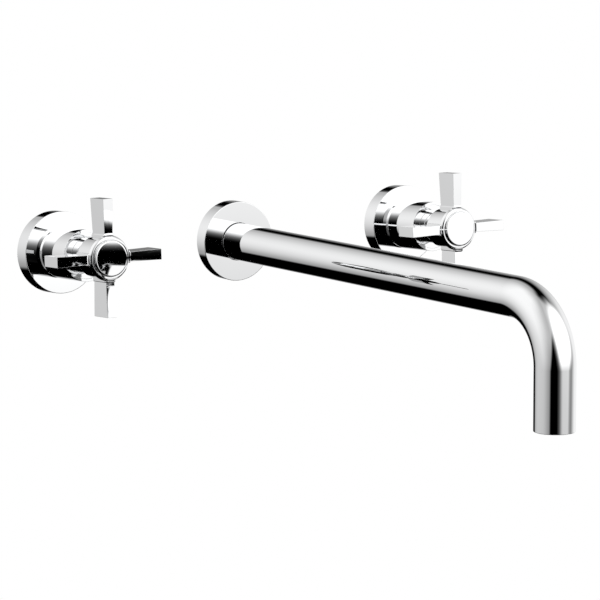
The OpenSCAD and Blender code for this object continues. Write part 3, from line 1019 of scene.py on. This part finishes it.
@dataclass
class StudioSky:
    """The bright studio round the faucet, as polished metal mirrors it.

    Angles are in degrees. Azimuth 0 is the front, -Y, and grows towards the left. Each
    step names the angle at which it starts and the one at which it is full.
    """

    tree: bpy.types.NodeTree
    direction: Socket = field(init=False)
    azimuth: Socket = field(init=False)
    elevation: Socket = field(init=False)
    turn: Socket = field(init=False)

    def __post_init__(self) -> None:
        """Turn the ray's direction into azimuth and elevation."""
        self.direction = add_node(self.tree, "TexCoord").outputs["Generated"]
        parts = add_node(self.tree, "SeparateXYZ")
        self.tree.links.new(self.direction, parts.inputs[0])
        x = self.math("MULTIPLY", parts.outputs["X"], -1.0)
        y = self.math("MULTIPLY", parts.outputs["Y"], -1.0)
        self.azimuth = self.math("DEGREES", self.math("ARCTAN2", x, y))
        self.elevation = self.math("DEGREES", self.math("ARCSINE", parts.outputs["Z"]))
        # The same azimuth, but cut open at 100 degrees on the left
        self.turn = self.math("WRAP", self.azimuth, 100.0, -260.0)

    def math(self, operation: str, *inputs: float | Socket) -> Socket:
        """Add one math node.

        Args:
            operation: Name of the operation.
            inputs: Numbers or sockets.

        Returns:
            The result's socket.
        """
        node = add_node(self.tree, "Math")
        node.operation = operation
        for socket, value in zip(node.inputs, inputs):
            if isinstance(value, (int, float)):
                socket.default_value = value
            else:
                self.tree.links.new(value, socket)
        return node.outputs[0]

    def step(self, value: Socket, low: float, high: float) -> Socket:
        """Smooth step from 0 at low to 1 at high; low may be the larger.

        Args:
            value: Socket of the value.
            low: Value at which the step starts.
            high: Value at which it ends.

        Returns:
            The step's socket.
        """
        node = add_node(self.tree, "MapRange", {"From Min": low, "From Max": high})
        node.interpolation_type = "SMOOTHSTEP"
        self.tree.links.new(value, node.inputs["Value"])
        return node.outputs["Result"]

    def ramp(self, value: Socket, stops: Sequence[tuple[float, float]]) -> Socket:
        """Read a level from a list of stops.

        Args:
            value: Socket of the value.
            stops: Pairs of value and light level, in rising order.

        Returns:
            The level's socket.
        """
        low, high = stops[0][0], stops[-1][0]
        share = self.math("DIVIDE", self.math("SUBTRACT", value, low), high - low)
        node = add_node(self.tree, "ValToRGB")
        node.color_ramp.interpolation = "LINEAR"
        elements = node.color_ramp.elements
        while len(elements) > 1:
            elements.remove(elements[-1])
        for index, (at, level) in enumerate(stops):
            element = elements[0] if index == 0 else elements.new((at - low) / (high - low))
            element.position = (at - low) / (high - low)
            element.color = (level, level, level, 1)
        self.tree.links.new(share, node.inputs["Fac"])
        return node.outputs["Color"]

    def between(self, value: Socket, low: float, high: float, soft_low: float, soft_high: float) -> Socket:
        """One inside a span and zero outside it, with soft ends.

        Args:
            value: Socket of the value.
            low: Lower end.
            high: Upper end.
            soft_low: Width of the lower end's fade.
            soft_high: Width of the upper end's fade.

        Returns:
            The mask's socket.
        """
        rise = self.step(value, low - soft_low / 2, low + soft_low / 2)
        fall = self.step(value, high + soft_high / 2, high - soft_high / 2)
        return self.math("MULTIPLY", rise, fall)

    def off(self, azimuth: float, elevation: float) -> Socket:
        """Angle between the ray and a fixed direction.

        Args:
            azimuth: Azimuth of the direction.
            elevation: Elevation of the direction.

        Returns:
            The angle's socket, in degrees.
        """
        around, up = math.radians(azimuth), math.radians(elevation)
        level = math.cos(up)
        node = add_node(self.tree, "VectorMath")
        node.operation = "DOT_PRODUCT"
        self.tree.links.new(self.direction, node.inputs[0])
        node.inputs[1].default_value = (-math.sin(around) * level, -math.cos(around) * level, math.sin(up))
        return self.math("DEGREES", self.math("ARCCOSINE", node.outputs["Value"]))

    def leaning(self, share: float) -> Socket:
        """Azimuth plus a share of the elevation, for an edge that leans."""
        return self.math("ADD", self.azimuth, self.math("MULTIPLY", self.elevation, share))

    def product(self, *masks: Socket) -> Socket:
        """Multiply masks.

        Args:
            masks: Sockets of the masks.

        Returns:
            The product's socket.
        """
        result = masks[0]
        for mask in masks[1:]:
            result = self.math("MULTIPLY", result, mask)
        return result

    def blend(self, light: Socket, other: float | Socket, mask: Socket) -> Socket:
        """Turn the light into another level where a mask is one.

        Args:
            light: Socket of the light so far.
            other: The other level.
            mask: Socket of the mask.

        Returns:
            The new light's socket.
        """
        change = self.math("MULTIPLY", self.math("SUBTRACT", other, light), mask)
        return self.math("ADD", light, change)

    def dimmed(self, light: Socket, mask: Socket, share: float = 1.0) -> Socket:
        """Take a share of the light away where a mask is one.

        Args:
            light: Socket of the light so far.
            mask: Socket of the mask.
            share: Share of the light that goes.

        Returns:
            The new light's socket.
        """
        kept = self.math("SUBTRACT", 1.0, self.math("MULTIPLY", mask, share))
        return self.math("MULTIPLY", light, kept)

    def walls(self) -> Socket:
        """Light of the walls and the ceiling: walls by azimuth, dimmer low down.

        Returns:
            The level's socket.
        """
        greys = [
            (-260, 248), (-240, 250), (-220, 250), (-210, 241), (-198, 226), (-188, 210),
            (-180, 199), (-172, 180), (-150, 172), (-100, 176), (-60, 185), (0, 205),
            (25, 204), (45, 182), (60, 195), (75, 219), (90, 238), (100, 246),
        ]
        room = self.ramp(self.turn, [(at, linear(grey)) for at, grey in greys])
        height = self.ramp(self.elevation, [
            (-24, 0.30), (-16, 0.43), (-12, 0.52), (-8, 0.61), (-4, 0.69), (0, 0.755),
            (6, 0.83), (12, 0.90), (20, 0.965), (30, 1.0),
        ])
        # All but the far left is a little dimmer low down, and the ceiling has one grey
        low = self.product(self.step(self.azimuth, 100, 58), self.step(self.elevation, 30, 0))
        light = self.dimmed(self.product(room, height), low, share=0.2)
        return self.blend(light, linear(CEILING_GREY), self.step(self.elevation, 55, 92))

    def arch(self, light: Socket) -> Socket:
        """Add the right wall and the dark arch that climbs from behind it to the ceiling.

        Args:
            light: Socket of the light so far.

        Returns:
            The new light's socket.
        """
        # Right wall, a round field that starts from black at its edge, and its low end
        inside = self.math("SUBTRACT", WALL_REACH, self.off(*WALL_MIDDLE))
        wall = self.ramp(inside, [
            (0, 0), (2, 0.045), (5, 0.14), (7, 0.21), (10, 0.305), (15, 0.40),
            (20, 0.50), (25, 0.60), (30, 0.715), (35, 0.80), (42, 0.86),
        ])
        foot = self.product(self.step(self.turn, -147, -137), self.step(self.elevation, 4, -4))
        low = self.math("MULTIPLY", foot, LOW_LEVEL)
        within = self.math("GREATER_THAN", inside, 0.0)
        right = self.step(self.turn, -52, -98)
        light = self.blend(light, self.math("MAXIMUM", wall, low), self.product(right, within))
        # Dark arch beyond the wall, open where a pale strip stands in it
        beyond = self.step(self.off(*ARCH_MIDDLE), 118, 106.5)
        strip = self.product(
            self.step(self.turn, -165.5, -167.5), self.step(self.elevation, -6, -2),
            self.step(self.elevation, 44, 32))
        dark = self.product(
            self.math("SUBTRACT", 1.0, within), beyond, self.step(self.turn, -60, -100))
        light = self.dimmed(light, self.dimmed(dark, strip))
        # Dark corner at the arch's foot
        corner = self.product(
            self.step(self.turn, -199, -182), self.step(self.turn, -150, -166),
            self.step(self.elevation, -3, -8))
        return self.dimmed(light, corner)

    def front(self, light: Socket) -> Socket:
        """Add the round soft light in front and the shade towards the arch's end.

        Args:
            light: Socket of the light so far.

        Returns:
            The new light's socket.
        """
        # The light is dimmer at its foot
        lamp = self.ramp(self.elevation, [
            (-24, 0.44), (-13, 0.62), (-10, 0.78), (-7, 0.93), (-4, 1.06), (0, 1.19), (5, 1.25),
        ])
        light = self.blend(light, lamp, self.step(self.off(*LAMP_MIDDLE), 54, 38))
        light = self.dimmed(light, self.step(self.off(*SHADE_MIDDLE), 17, 2), share=0.85)
        seam = self.between(self.leaning(1.0), -76, -56, soft_low=14, soft_high=14)
        return self.dimmed(light, self.product(seam, self.step(self.elevation, 20, -10)), share=0.52)

    def level(self) -> Socket:
        """Put the studio together: walls, arch, soft light, dark screen and floor.

        Returns:
            The level's socket.
        """
        light = self.front(self.arch(self.walls()))
        # Dark screen round the camera, sharp on its left and soft on its right
        left = self.step(self.leaning(0.67), 62, 51)
        right = self.step(self.leaning(-0.5), 0, 33)
        light = self.dimmed(light, self.product(left, right, self.step(self.elevation, 48, 22)))
        # Dark floor, pale only in a patch below on the right
        light = self.product(light, self.step(self.elevation, -23, -19))
        below = self.step(self.elevation, -42, -46)
        patch = self.product(self.between(self.azimuth, -100, -58, soft_low=20, soft_high=10), below)
        return self.blend(light, linear(PATCH_GREY), patch)


@dataclass
class Studio:
    """Camera, pale floor, white wall and the bright room that the chrome mirrors.

    The camera's turn is in degrees, its lens and sensor are in its own millimetres.
    """

    eye: Point = (-1212.35, -1990.68, 194.85)
    turn: Point = (84.0028, 1.7019, -32.7793)
    lens: float = 184.55
    sensor: float = 36.0
    clip: tuple[float, float] = (50.0, 100000.0)
    floor_size: float = 24000.0
    floor_level: float = -700.0
    floor_grey: float = 0.85
    floor_glow: float = 0.3
    wall_size: float = 4000.0
    wall_height: float = 1300.0
    wall_gap: float = 0.2
    room_light: float = 0.9

    def camera(self) -> None:
        """Stand the camera where the photograph was taken."""
        deselect_all()
        angles = tuple(math.radians(a) for a in self.turn)
        bpy.ops.object.camera_add(location=Vector(self.eye) * MM, rotation=angles)
        camera = bpy.context.active_object
        camera.data.lens = self.lens
        camera.data.sensor_width = self.sensor
        camera.data.clip_start, camera.data.clip_end = Vector(self.clip) * MM
        bpy.context.scene.camera = camera

    def floor(self) -> None:
        """Lay a plain pale floor far below the faucet."""
        deselect_all()
        bpy.ops.mesh.primitive_plane_add(size=self.floor_size * MM, location=(0, 0, self.floor_level * MM))
        ground = newest("studio_floor")
        material = bpy.data.materials.new("pale_floor")
        material.use_nodes = True
        tree, links = material.node_tree, material.node_tree.links
        matte = tree.nodes["Principled BSDF"]
        matte.inputs["Base Color"].default_value = (*[self.floor_grey] * 3, 1)
        matte.inputs["Roughness"].default_value = 0.9
        matte.inputs["Emission Color"].default_value = (1, 1, 1, 1)
        rays = add_node(tree, "LightPath")
        seen = add_node(tree, "Math")
        seen.operation = "MULTIPLY"
        seen.inputs[1].default_value = self.floor_glow
        links.new(rays.outputs["Is Camera Ray"], seen.inputs[0])
        links.new(seen.outputs[0], matte.inputs["Emission Strength"])
        ground.data.materials.append(material)
        ground.visible_glossy = False

    def wall(self) -> None:
        """Stand a white wall behind the flanges; from behind it is clear, so that the fittings show."""
        deselect_all()
        bpy.ops.mesh.primitive_plane_add(
            size=self.wall_size * MM, location=(0, self.wall_gap * MM, self.wall_height * MM),
            rotation=(math.radians(90), 0, 0))
        card = newest("studio_wall")
        material = bpy.data.materials.new("white_wall")
        material.use_nodes = True
        tree, links = material.node_tree, material.node_tree.links
        tree.nodes.remove(tree.nodes["Principled BSDF"])
        paint = add_node(tree, "Emission")
        clear = add_node(tree, "BsdfTransparent")
        side = add_node(tree, "NewGeometry")
        mix = add_node(tree, "MixShader")
        links.new(side.outputs["Backfacing"], mix.inputs["Fac"])
        links.new(paint.outputs[0], mix.inputs[1])
        links.new(clear.outputs[0], mix.inputs[2])
        links.new(mix.outputs[0], tree.nodes["Material Output"].inputs["Surface"])
        card.data.materials.append(material)
        card.visible_glossy = card.visible_diffuse = card.visible_shadow = False

    def world(self) -> None:
        """Light the room: white to the camera, the studio to polished metal."""
        world = bpy.data.worlds.new("studio")
        bpy.context.scene.world = world
        world.use_nodes = True
        tree = world.node_tree
        tree.nodes.clear()
        sky = StudioSky(tree)
        rays = add_node(tree, "LightPath")
        # The chrome takes some light away, which the mirrored studio makes up for
        mirrored = sky.math("DIVIDE", sky.level(), POLISHED_CHROME.colour[1])
        glossy = sky.math("MULTIPLY", mirrored, rays.outputs["Is Glossy Ray"])
        other = sky.math("SUBTRACT", 1.0, rays.outputs["Is Glossy Ray"])
        plain = sky.math("MULTIPLY", other, self.room_light)
        direct = sky.math("MAXIMUM", rays.outputs["Is Camera Ray"], rays.outputs["Is Transmission Ray"])
        total = sky.math("MAXIMUM", sky.math("ADD", glossy, plain), direct)
        background = add_node(tree, "Background", {"Color": (1, 1, 1, 1)})
        tree.links.new(total, background.inputs["Strength"])
        output = add_node(tree, "OutputWorld")
        tree.links.new(background.outputs[0], output.inputs["Surface"])

    def build(self) -> None:
        """Set the whole studio up."""
        self.camera()
        self.floor()
        self.wall()
        self.world()
        bpy.context.scene.view_settings.view_transform = "Standard"


def main() -> None:
    """Build the studio and every piece of the faucet."""
    logging.basicConfig(level=logging.INFO)
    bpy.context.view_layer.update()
    shop = Workshop()
    Studio().build()
    dress_nodes(shop)
    spout = Spout()
    makers: list[Callable[[Workshop], None]] = [spout.build, SpoutFlange(spout).build]
    makers += [ValveTrim(side).build for side in Side]
    for make in makers:
        make(shop)
    LOG.info("%d new pieces", shop.count)


if __name__ == "__main__":
    main()
